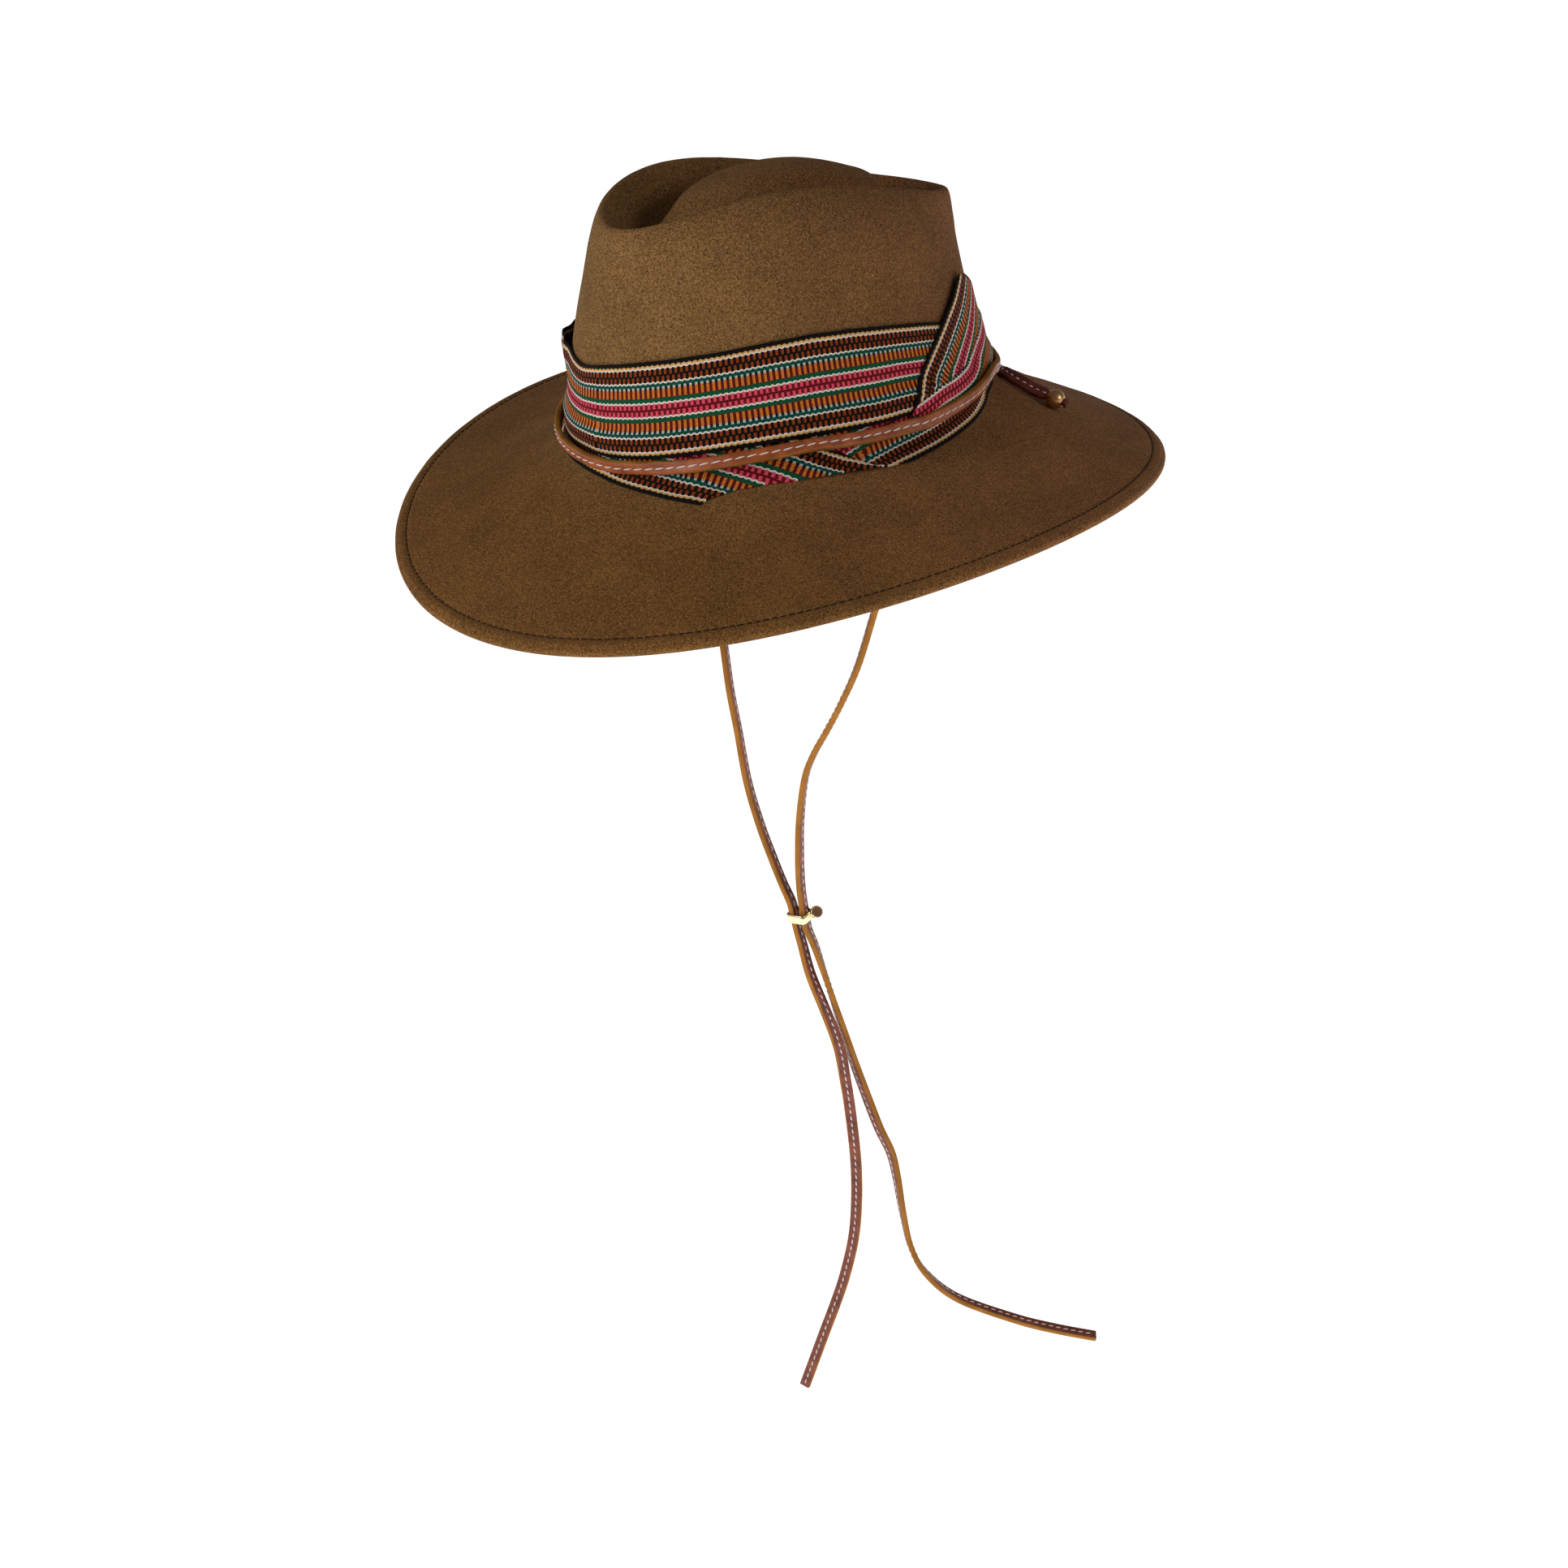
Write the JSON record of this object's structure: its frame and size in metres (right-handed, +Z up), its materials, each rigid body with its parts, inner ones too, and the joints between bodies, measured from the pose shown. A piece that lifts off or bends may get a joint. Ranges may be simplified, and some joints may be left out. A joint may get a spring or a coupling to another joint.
{
  "type": "bush hat",
  "caption": "Brown wool felt bush hat with a pinched crown, a striped woven band folded round it, a stitched leather lace with a brass bead, and two leather chin laces through a brass slide",
  "frame": {"origin": "middle of the head opening, level with the crease where the crown meets the brim", "axes": "+Z up through the crown, -Y the way the hat looks, +X the wearer's left"},
  "size_m": [0.332, 0.3735, 0.6904],
  "materials": {
    "felt": "matt brushed wool felt",
    "woven_band": "matt ribbed weave, striped along its length",
    "saddle_leather": "satin, stitched",
    "dark_leather": "satin, stitched",
    "brass": "polished"
  },
  "bodies": {
    "root": {"felt_body": "felt", "band_lower_wrap": "woven_band", "band_upper_wrap": "woven_band", "band_side_fold": "woven_band", "band_far_fold": "woven_band", "leather_band": "saddle_leather", "band_tail": "dark_leather", "tail_bead": "brass", "chin_lace_left": "dark_leather", "chin_lace_right": "dark_leather", "lace_slide": "brass"}
  },
  "joints": []
}
